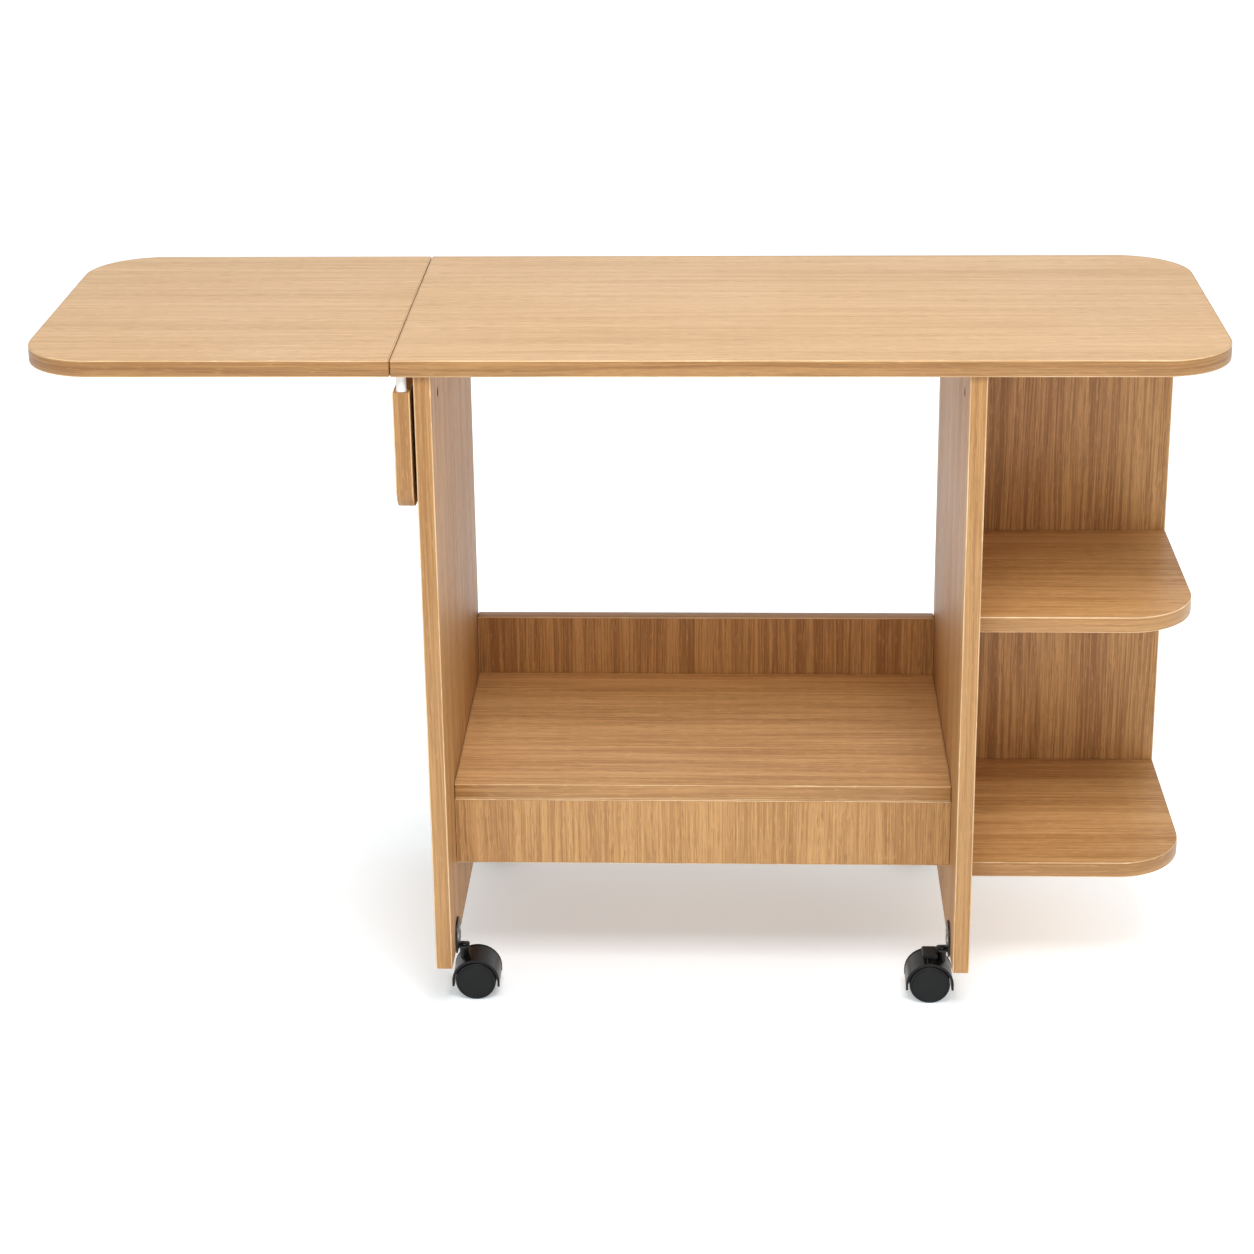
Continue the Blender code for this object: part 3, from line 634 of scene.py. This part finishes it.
def board_mesh(name, low, high, radii, grain_axis, seed):
    """Board with a faced core, edge bands with eased rims, and its grain in the UV map."""
    size = high - low
    across = min(range(3), key=lambda index: size[index])
    u_axis, v_axis = [index for index in range(3) if index != across]
    flat_low = (low[u_axis], low[v_axis])
    flat_high = (high[u_axis], high[v_axis])
    corners = [max(radius, SHARP_CORNER) for radius in radii]
    profile = edge_profile(size[across])
    rim = rounded_outline(flat_low, flat_high, corners)
    count = len(rim)
    run = [0.0]
    for index in range(count):
        first, second = Vector(rim[index]), Vector(rim[(index + 1) % count])
        run.append(run[-1] + (second - first).length)
    bm = bmesh.new()
    layer = bm.loops.layers.uv.new("Grain")
    rings = []
    for inset, height, _ in profile:
        ring = []
        for u, v in rounded_outline(flat_low, flat_high, corners, inset):
            point = [0.0, 0.0, 0.0]
            point[u_axis], point[v_axis], point[across] = u, v, low[across] + height
            ring.append(bm.verts.new(point))
        rings.append(ring)
    grain_first = grain_axis == u_axis
    for ring, side in ((rings[0], 0), (rings[-1], 1)):
        face = bm.faces.new(ring)
        for loop in face.loops:
            u, v = loop.vert.co[u_axis], loop.vert.co[v_axis]
            along, beside = (u, v) if grain_first else (v, u)
            loop[layer].uv = (along + FACE_STEP[0] * seed, beside + FACE_STEP[1] * seed + SIDE_STEP * side)
    for level, (first, second) in enumerate(zip(rings, rings[1:])):
        look = profile[level][2]
        for index in range(count):
            following = (index + 1) % count
            face = bm.faces.new((first[index], first[following], second[following], second[index]))
            face.material_index = look
            heights = (profile[level][1], profile[level + 1][1])
            spots = ((run[index], heights[0]), (run[index + 1], heights[0]),
                     (run[index + 1], heights[1]), (run[index], heights[1]))
            for loop, (along, beside) in zip(face.loops, spots):
                loop[layer].uv = (along + BAND_STEP[0] * seed, beside + BAND_STEP[1] * seed + BAND_START)
    return finish_mesh(bm, name)


def add_board(node, grain, seed, radii=(0, 0, 0, 0), bores=(), band="band"):
    """A board in a node's place; grain is the axis it runs along and seed sets it apart from the others."""
    low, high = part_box(node)
    mesh = board_mesh(node, low, high, radii, AXES[grain], seed)
    for look in (SLOTS[node], band, "rim", "core"):
        mesh.materials.append(LOOKS[look])
    if bores:
        mesh = cut_mesh(mesh, bores)
    stand_in(node, mesh)


def bore_for(node, inward):
    """Tool that cuts the hole for a cam lock into a side panel."""
    low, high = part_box(node)
    centre = (low + high) / 2
    radius = (high.y - low.y) / 2 + CAM_BORE_PLAY
    ends = sorted((low.x, high.x), key=lambda x: -x * inward)
    start, end = sorted((ends[0] - inward * CAM_SINK, ends[1]))
    outline = [(0, start), (radius, start), (radius, end), (0, end)]
    tool = moved(lathe(outline, CAM_SIDES, "x"), (0, centre.y, centre.z))
    bmesh.ops.recalc_face_normals(tool, faces=tool.faces)
    for face in tool.faces:
        face.material_index = CORE
    mesh = bpy.data.meshes.new("bore")
    tool.to_mesh(mesh)
    tool.free()
    for look in ("band", "band", "band", "core"):
        mesh.materials.append(LOOKS[look])
    return mesh


def build_boards():
    add_board("main_top", "x", 1, (0, TOP_CORNER, TOP_CORNER, 0), band="top_band")
    add_board("drop_leaf", "x", 2, (TOP_CORNER, 0, 0, TOP_CORNER), band="top_band")
    add_board("left_side_panel", "z", 3, bores=[bore_for("left_cam_lock", -1)])
    add_board("right_side_panel", "z", 4, bores=[bore_for("right_cam_lock", 1)])
    add_board("low_shelf", "x", 5)
    add_board("back_rail", "z", 6)
    add_board("front_apron", "z", 7)
    add_board("end_back_panel", "z", 8)
    add_board("upper_end_shelf", "x", 9, (0, SHELF_CORNER, 0, 0))
    add_board("lower_end_shelf", "x", 10, (0, SHELF_CORNER, 0, 0))
    add_board("support_arm", "z", 11, (ARM_CORNER, 0, 0, 0))


# Screws, cam locks and the arm's stopper

def cross_tools(radius, top, depth):
    """Two tapered blades that sink a cross recess into a screw head facing +Z."""
    tools = []
    for turn in (0, 90):
        half, reach = BLADE_HALF * radius, BLADE_REACH * radius
        bm = bmesh.new()
        rings = []
        for side, share in BLADE_TAPER:
            level = top + side * depth
            ring = []
            for u, v in ((-1, -1), (1, -1), (1, 1), (-1, 1)):
                ring.append(bm.verts.new((u * reach * share, v * half * share, level)))
            rings.append(ring)
        bm.faces.new(rings[0])
        bm.faces.new(rings[1])
        for index in range(4):
            following = (index + 1) % 4
            bm.faces.new((rings[0][index], rings[0][following], rings[1][following], rings[1][index]))
        turned(bm, Matrix.Rotation(math.radians(turn), 4, "Z"))
        tools.append(finish_mesh(bm, "blade", smooth=False))
    return tools


def screw_mesh(radius, dome):
    """Screw head facing +Z with its rim at zero."""
    profile = [(0, -0.9 * radius), (0.45 * radius, -0.9 * radius), (radius, -SCREW_RIM_SINK)]
    for step in range(6):
        angle = math.radians(90 * step / 5)
        profile.append((radius * math.cos(angle), dome * math.sin(angle)))
    profile[-1] = (0, dome)
    head = finish_mesh(lathe(profile, SCREW_SIDES), "screw")
    return cut_mesh(head, cross_tools(radius, dome, RECESS_DEPTH))


def facing(direction, twist):
    """Rotation that turns +Z to a direction, after a twist about it."""
    turn = Vector((0, 0, 1)).rotation_difference(Vector(direction)).to_matrix().to_4x4()
    return turn @ Matrix.Rotation(math.radians(twist), 4, "Z")


def add_screw(name, blank, place, direction, body, twist):
    mesh = blank.copy()
    mesh.transform(Matrix.Translation(Vector(place)) @ facing(direction, twist))
    return add_piece(name, mesh, "screw_steel", body)


def build_cams():
    for side, inward in (("left", -1), ("right", 1)):
        node = side + "_cam_lock"
        low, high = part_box(node)
        centre = (low + high) / 2
        radius = (high.y - low.y) / 2
        depth = high.x - low.x - CAM_SINK
        face = depth / 2
        dish = face - CAM_LIP
        profile = [(0, -face), (radius, -face), (radius, dish), (radius - CAM_LIP, face),
                   (radius - CAM_RING, face), (radius - CAM_RING_FOOT, dish), (0, dish)]
        cam = cut_mesh(finish_mesh(lathe(profile, CAM_SIDES), "cam"), cross_tools(radius, face, RECESS_DEPTH))
        cam.transform(Matrix.Translation((centre.x + inward * CAM_SINK / 2, centre.y, centre.z))
                      @ facing((-inward, 0, 0), CAM_TWIST))
        stand_in(node, cam)


def build_stopper():
    low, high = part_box("arm_stopper")
    centre = (low + high) / 2
    radius = (high.x - low.x) / 2
    shoulder = radius - STOPPER_CHAMFER
    profile = [(0, low.z), (radius, low.z)]
    profile += [(radius, low.z + STOPPER_FLANGE), (shoulder, low.z + STOPPER_COLLAR)]
    for step in range(9):
        angle = math.radians(90 * step / 8)
        height = high.z - STOPPER_CROWN * (1 - math.sin(angle))
        profile.append((shoulder - STOPPER_CROWN * (1 - math.cos(angle)), height))
    profile.append((0, high.z))
    mesh = finish_mesh(moved(lathe(profile, STOPPER_SIDES), (centre.x, centre.y, 0)), "stopper")
    stand_in("arm_stopper", mesh)


# Hinges

def hinge_frame(pin_node, axis, side, normal):
    """Matrix from a flap's own frame, with X away from the pin, Y to the board and Z along the pin."""
    low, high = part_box(pin_node)
    origin = (low + high) / 2
    along = AXES[axis]
    origin[along] = low[along]
    z_direction = Vector((0, 0, 0))
    z_direction[along] = 1.0
    columns = Matrix((Vector(side), Vector(normal), z_direction)).transposed()
    return Matrix.Translation(origin) @ columns.to_4x4(), high[along] - low[along]


def flap_outline(width, length, spans):
    """Flap with two rounded outer corners and tabs that reach the knuckles."""
    reach = BARREL_RADIUS + KNUCKLE_EASE
    outline = arc((width - FLAP_CORNER, FLAP_CORNER), FLAP_CORNER, -90, 0, 8)
    outline += arc((width - FLAP_CORNER, length - FLAP_CORNER), FLAP_CORNER, 0, 90, 8)
    outline.append((reach, length))
    for low, high in reversed(spans):
        outline += [(reach, high), (0.0, high), (0.0, low), (reach, low)]
    outline.append((reach, 0.0))
    clean = []
    for point in outline:
        if not clean or (Vector(point) - Vector(clean[-1])).length > TINY:
            clean.append(point)
    return clean


def hinge_leaf_mesh(length, width, offset, spans):
    """Flap, tabs and knuckles of one half of a butt hinge, in the flap's own frame."""
    outline = flap_outline(width, length, spans)
    parts = [prism(outline, offset, offset + FLAP_THICKNESS, "y")]
    bore = PIN_RADIUS + PIN_PLAY
    for low, high in spans:
        ease = KNUCKLE_EASE
        profile = [(bore, low), (BARREL_RADIUS - ease, low), (BARREL_RADIUS, low + ease),
                   (BARREL_RADIUS, high - ease), (BARREL_RADIUS - ease, high), (bore, high)]
        parts.append(lathe(profile, BARREL_SIDES))
    return gathered(parts)


def build_hinge(prefix, axis, fixed, moving, screw):
    """fixed and moving are (direction away from the pin, direction towards the board, screw side)."""
    for kind, (side, normal, head_side) in (("fixed", fixed), ("moving", moving)):
        matrix, length = hinge_frame(prefix + "_pin", axis, side, normal)
        node = prefix + "_" + kind
        width = max((matrix.inverted() @ Vector(corner)).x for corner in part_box(node))
        offset = FLAP_OFFSETS[prefix.split("_")[0], kind]
        third = length / 3
        spans = [(0.0, third - KNUCKLE_GAP), (2 * third + KNUCKLE_GAP, length)]
        if kind == "moving":
            spans = [(third + KNUCKLE_GAP, 2 * third - KNUCKLE_GAP)]
        bm = turned(hinge_leaf_mesh(length, width, offset, spans), matrix)
        piece = stand_in(node, finish_mesh(bm, node))
        soften(piece, FLAP_SOFTNESS)
        surface = offset if head_side < 0 else offset + FLAP_THICKNESS
        for index, share in enumerate(FLAP_SCREWS_ALONG):
            place = matrix @ Vector((FLAP_SCREW_ACROSS * width, surface, share * length))
            direction = matrix.to_3x3() @ Vector((0, head_side, 0))
            name = "{}_screw_{}".format(node, index + 1)
            add_screw(name, screw, place, direction, body_of(node), FLAP_SCREW_TWISTS[index])
    matrix, length = hinge_frame(prefix + "_pin", axis, fixed[0], fixed[1])
    ease = PIN_EASE
    profile = [(0, 0), (PIN_RADIUS - ease, 0), (PIN_RADIUS, ease), (PIN_RADIUS, length - ease),
               (PIN_RADIUS - ease, length), (0, length)]
    stand_in(prefix + "_pin", finish_mesh(turned(lathe(profile, PIN_SIDES), matrix), prefix + "_pin"))


FLAP_OFFSETS = {
    ("leaf", "fixed"): 0.0016,
    ("leaf", "moving"): 0.0016,
    ("arm", "fixed"): 0.0016,
    ("arm", "moving"): -0.0004,
}


def build_hinges():
    screw = screw_mesh(HINGE_SCREW_RADIUS, HINGE_SCREW_DOME)
    for end in ("front", "back"):
        build_hinge("leaf_hinge_" + end, "y", ((1, 0, 0), (0, 0, 1), -1), ((-1, 0, 0), (0, 0, 1), -1), screw)
    for level in ("lower", "upper"):
        build_hinge("arm_hinge_" + level, "z", ((0, 1, 0), (1, 0, 0), -1), ((0, -1, 0), (1, 0, 0), 1), screw)


# Casters

def wheel_mesh(inner, outer, radius):
    """Wheel about the Y axis with its domed face at +Y."""
    hollow = inner + WHEEL_HOLLOW
    profile = [(0, hollow), (WHEEL_HUB_SHARE * radius, hollow), (WHEEL_RING_SHARE * radius, inner)]
    profile += [(radius - TREAD_EASE, inner), (radius - TREAD_CHAMFER, inner + TREAD_CHAMFER)]
    profile.append((radius, inner + TREAD_EASE))
    for step in range(7):
        angle = math.radians(90 * step / 6)
        height = outer - TREAD_EASE - WHEEL_SHOULDER * (1 - math.sin(angle))
        profile.append((radius - WHEEL_SHOULDER * (1 - math.cos(angle)), height))
    profile += [(share * radius, outer - depth) for share, depth in WHEEL_FACE]
    return lathe(profile, WHEEL_SIDES, "y")


def hood_parts(radius, half, axle_z, fin_bottom, boss_x, boss_low, boss_top):
    """Moulded hood about a wheel centre at x = 0, y = 0."""
    centre = (0.0, axle_z)

    def shell_outline(outer):
        fin_inner = outer - FIN_THICKNESS
        step_half = math.sqrt(HOOD_BORE ** 2 - (STEP_Z - axle_z) ** 2)
        step_angle = math.degrees(math.asin((STEP_Z - axle_z) / HOOD_BORE))
        outline = [(outer, fin_bottom)]
        outline += arc(centre, outer, 0, 180, HOOD_STEPS)
        outline += [(-outer, fin_bottom), (-fin_inner, fin_bottom)]
        outline += [(-fin_inner, STEP_Z), (-step_half, STEP_Z)]
        outline += arc(centre, HOOD_BORE, 180 - step_angle, step_angle, HOOD_STEPS)[1:-1]
        outline += [(step_half, STEP_Z), (fin_inner, STEP_Z), (fin_inner, fin_bottom)]
        return outline

    parts = [prism(shell_outline(radius - HOOD_RELIEF), -half + HOOD_BAND / 2, half - HOOD_BAND / 2, "y")]
    for side in (-1, 1):
        ends = sorted((side * half, side * (half - HOOD_BAND)))
        parts.append(prism(shell_outline(radius), ends[0], ends[1], "y"))
    web = arc(centre, radius - FIN_THICKNESS, 0, 180, HOOD_STEPS)
    web += arc(centre, HUB_RADIUS, 180, 360, 16)
    parts.append(prism(web, -WEB_HALF, WEB_HALF, "y"))
    boss = [(0, boss_low), (BOSS_RADIUS, boss_low), (BOSS_RADIUS, boss_top - BOSS_EASE),
            (BOSS_RADIUS - BOSS_EASE, boss_top), (0, boss_top)]
    parts.append(moved(lathe(boss, BOSS_SIDES), (boss_x, 0, 0)))
    return parts


def neck_parts(hood_half, hood_top):
    """Rib over the hood's crown and the neck on it that carries the brake rocker."""
    parts = []
    for half_width, top in ((NECK_HALF_WIDTH, NECK_TOP_Z), (hood_half - RIB_SETBACK, RIB_TOP_Z)):
        outline = rounded_outline((-NECK_HALF_LENGTH, hood_top - NECK_ROOT), (NECK_HALF_LENGTH, top),
                                  (0, 0, NECK_CORNER, NECK_CORNER))
        parts.append(prism(outline, -half_width, half_width, "y"))
    return parts


def rocker_mesh(low, high):
    """Brake pedal about the wheel centre, hollow below for the neck."""
    length = (high.x - low.x) / 2
    width = (high.y - low.y) / 2
    outline = rounded_outline((-length, low.z), (length, high.z), PEDAL_CORNERS)
    body = finish_mesh(prism(outline, -width, width, "y"), "pedal")
    half = NECK_HALF_LENGTH + POCKET_PLAY
    below = low.z - POCKET_OVERCUT
    hollow = [(-half, below), (half, below), (half, POCKET_TOP_Z), (-half, POCKET_TOP_Z)]
    end = NECK_HALF_WIDTH + POCKET_END_PLAY
    return cut_mesh(body, [finish_mesh(prism(hollow, -end, end, "y"), "pocket", smooth=False)])


def bracket_parts(low, high, face_x, inward, tab_reach, swivel_y):
    """Angle plate: upright against the panel and a tab under it, about the swivel axis in Y."""
    half = (high.y - low.y) / 2
    plate_radii = (PLATE_FOOT, PLATE_FOOT, PLATE_CORNER, PLATE_CORNER)
    outline = rounded_outline((-half, low.z), (half, high.z), plate_radii)
    ends = sorted((face_x, face_x + inward * SHEET))
    plate = moved(prism(outline, ends[0], ends[1], "x"), (0, swivel_y, 0))
    reach = sorted((face_x + inward * SHEET / 2, tab_reach))
    radii = (0, TAB_CORNER, TAB_CORNER, 0) if inward > 0 else (TAB_CORNER, 0, 0, TAB_CORNER)
    tab_outline = rounded_outline((reach[0], -TAB_HALF), (reach[1], TAB_HALF), radii)
    tab = prism(tab_outline, low.z, low.z + SHEET, "z")
    radius = BEND_RADIUS
    root_x, root_z = face_x + inward * SHEET, low.z + SHEET
    sunk_x, sunk_z = root_x - inward * BEND_SINK, root_z - BEND_SINK
    fillet = [(sunk_x, sunk_z), (root_x + inward * radius, sunk_z)]
    centre = (root_x + inward * radius, root_z + radius)
    start, end = (270, 180) if inward > 0 else (270, 360)
    fillet += arc(centre, radius, start, end, 6)
    fillet.append((sunk_x, root_z + radius))
    bend = prism(fillet, -TAB_HALF + BEND_SETBACK, TAB_HALF - BEND_SETBACK, "y")
    return [plate, moved(tab, (0, swivel_y, 0)), moved(bend, (0, swivel_y, 0))]


def build_wheels(corner, swivel_y):
    """Both wheels of a caster, with their domed faces outwards."""
    for side in ("a", "b"):
        node = "caster_wheel_{}_{}".format(corner, side)
        low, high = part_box(node)
        spans = sorted((abs(low.y - swivel_y), abs(high.y - swivel_y)))
        bm = wheel_mesh(spans[0], spans[1], (high.z - low.z) / 2)
        if low.y + high.y < 2 * swivel_y:
            turned(bm, Matrix.Rotation(math.pi, 4, "Z"))
        centre = (low + high) / 2
        stand_in(node, finish_mesh(moved(bm, (centre.x, swivel_y, centre.z)), node))


def build_hood(corner, swivel_x, swivel_y):
    """A caster's hood with the boss for its stem, and the brake rocker where there is one."""
    node = "caster_hood_" + corner
    low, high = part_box(node)
    half = (high.y - low.y) / 2
    radius = (high.x - low.x) / 2
    wheel_low, wheel_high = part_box("caster_wheel_{}_a".format(corner))
    centre_x = (wheel_low.x + wheel_high.x) / 2
    axle_z = (wheel_low.z + wheel_high.z) / 2
    boss_low = axle_z + HOOD_BORE - BOSS_SINK
    parts = hood_parts(radius, half, axle_z, low.z, swivel_x - centre_x, boss_low, high.z)
    rocker_node = "brake_rocker_" + corner
    if rocker_node in frame["nodes"]:
        parts += neck_parts(half, axle_z + radius)
        rocker = rocker_mesh(*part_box(rocker_node))
        rocker.transform(Matrix.Translation((centre_x, swivel_y, 0)))
        soften(stand_in(rocker_node, rocker), MOULDED_SOFTNESS)
    hood = moved(gathered(parts), (centre_x, swivel_y, 0))
    soften(stand_in(node, finish_mesh(hood, node)), MOULDED_SOFTNESS)


def build_bracket(corner, swivel_y, screw):
    node = "caster_bracket_" + corner
    low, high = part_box(node)
    inward = 1 if corner.endswith("left") else -1
    face_x, tab_reach = (low.x, high.x) if inward > 0 else (high.x, low.x)
    parts = bracket_parts(low, high, face_x, inward, tab_reach, swivel_y)
    soften(stand_in(node, finish_mesh(gathered(parts), node)), MOULDED_SOFTNESS)
    for index, offset in enumerate(PLATE_SCREW_OFFSETS):
        place = (face_x + inward * SHEET, swivel_y + offset, high.z - PLATE_SCREW_DROP)
        name = "{}_screw_{}".format(node, index + 1)
        add_screw(name, screw, place, (inward, 0, 0), "frame", PLATE_SCREW_TWISTS[index])


def build_stem(corner, swivel_x, swivel_y):
    """A caster's stem, riveted over with a domed head."""
    node = "caster_stem_" + corner
    low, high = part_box(node)
    head = (high.x - low.x) / 2
    head_z = high.z - RIVET_HEAD
    dome_z = head_z + RIVET_EDGE
    profile = [(0, low.z), (RIVET_NECK, low.z), (RIVET_NECK, head_z), (head, head_z), (head, dome_z)]
    for step in range(1, 7):
        angle = math.radians(90 * step / 6)
        profile.append((head * math.cos(angle), dome_z + (RIVET_HEAD - RIVET_EDGE) * math.sin(angle)))
    profile[-1] = (0, high.z)
    stand_in(node, finish_mesh(moved(lathe(profile, RIVET_SIDES), (swivel_x, swivel_y, 0)), node))


def build_caster(corner, screw):
    swivel = next(joint for joint in frame["joints"] if joint["name"] == "swivel_" + corner)
    swivel_x, swivel_y = swivel["pos_m"][:2]
    build_wheels(corner, swivel_y)
    build_hood(corner, swivel_x, swivel_y)
    build_bracket(corner, swivel_y, screw)
    build_stem(corner, swivel_x, swivel_y)
    axle = frame["nodes"]["caster_axle_" + corner]
    axle.material_slots[0].material = LOOKS["axle_steel"]


def build_casters():
    screw = screw_mesh(PLATE_SCREW_RADIUS, PLATE_SCREW_DOME)
    for corner in ("front_left", "front_right", "back_left", "back_right"):
        build_caster(corner, screw)


# Floor, light and camera

FLOOR_REACH = 40.0

FLOOR_DARK = (0.86, 0.90, 0.94)
FLOOR_LIGHT = (0.88, 0.92, 0.96)

# The floor's own light, under the table and beyond its reach
GLOW_COLOUR = (0.90, 0.97, 1.0)
FLOOR_GLOW = (0.27, 0.62)
GLOW_REACH = (0.75, 0.50)


def build_floor():
    bm = bmesh.new()
    bmesh.ops.create_grid(bm, x_segments=8, y_segments=8, size=FLOOR_REACH)
    mesh = finish_mesh(bm, "studio_floor", smooth=False)
    floor = bpy.data.objects.new("studio_floor", mesh)
    bpy.context.scene.collection.objects.link(floor)
    look = Look("floor_pale", 0.85)
    cloud = look.noise(look.place(), (2.0, 2.0, 2.0), 2.0)
    look.link(look.blend(cloud, rgba(FLOOR_DARK), rgba(FLOOR_LIGHT)), look.shader.inputs["Base Color"])
    look.shader.inputs["Specular IOR Level"].default_value = 0.1
    look.shader.inputs["Emission Color"].default_value = rgba(GLOW_COLOUR)
    spread = look.tree.nodes.new("ShaderNodeVectorMath")
    spread.operation = "LENGTH"
    look.link(look.scaled(look.place(), (1.0 / GLOW_REACH[0], 1.0 / GLOW_REACH[1], 0.0)), spread.inputs[0])
    glow = look.remap(spread.outputs["Value"], 0.25, 1.0, *FLOOR_GLOW)
    look.link(glow, look.shader.inputs["Emission Strength"])
    mesh.materials.append(look.material)


def add_area(name, place, target, size, power):
    data = bpy.data.lights.new(name, "AREA")
    data.shape = "RECTANGLE"
    data.size, data.size_y = size
    data.energy = power
    lamp = bpy.data.objects.new(name, data)
    bpy.context.scene.collection.objects.link(lamp)
    lamp.location = place
    lamp.rotation_euler = (Vector(target) - Vector(place)).to_track_quat("-Z", "Y").to_euler()


# Studio walls: bright at the horizon, dimmer overhead; the rise is the sine of the elevation
SKY_RISE = (0.20, 0.55)
SKY_LIGHT = (1.05, 0.44)
LIGHT_TARGET = (0.0, 0.0, 0.4)


def build_light():
    world = bpy.data.worlds.new("studio")
    world.use_nodes = True
    tree = world.node_tree
    background = tree.nodes["Background"]
    background.inputs["Color"].default_value = (1.0, 1.0, 1.0, 1.0)
    direction = tree.nodes.new("ShaderNodeTexCoord").outputs["Generated"]
    split = tree.nodes.new("ShaderNodeSeparateXYZ")
    tree.links.new(direction, split.inputs["Vector"])
    ramp = tree.nodes.new("ShaderNodeMapRange")
    ramp.interpolation_type = "SMOOTHSTEP"
    set_range(ramp, *SKY_RISE, *SKY_LIGHT)
    tree.links.new(split.outputs["Z"], ramp.inputs["Value"])
    tree.links.new(ramp.outputs["Result"], background.inputs["Strength"])
    bpy.context.scene.world = world
    add_area("overhead", (0.1, -0.3, 2.9), LIGHT_TARGET, (2.6, 1.8), 11.0)
    add_area("key", (0.3, -1.75, 3.1), LIGHT_TARGET, (1.6, 1.1), 62.0)
    bpy.context.scene.view_settings.view_transform = "Standard"


CAMERA_PLACE = (0.1176, -2.8637, 1.5703)
CAMERA_TURN = (70.628, 0.713, 2.216)
CAMERA_LENS = 78.742
CAMERA_SHIFT = -0.12


def build_camera():
    data = bpy.data.cameras.new("camera")
    data.lens = CAMERA_LENS
    data.sensor_width = 36.0
    data.shift_y = CAMERA_SHIFT
    camera = bpy.data.objects.new("camera", data)
    bpy.context.scene.collection.objects.link(camera)
    camera.location = CAMERA_PLACE
    camera.rotation_euler = [math.radians(angle) for angle in CAMERA_TURN]
    bpy.context.scene.camera = camera


SLOTS = {node: slot_of(node) for node in frame["nodes"]}

build_boards()
build_cams()
build_stopper()
build_hinges()
build_casters()
build_floor()
build_light()
build_camera()
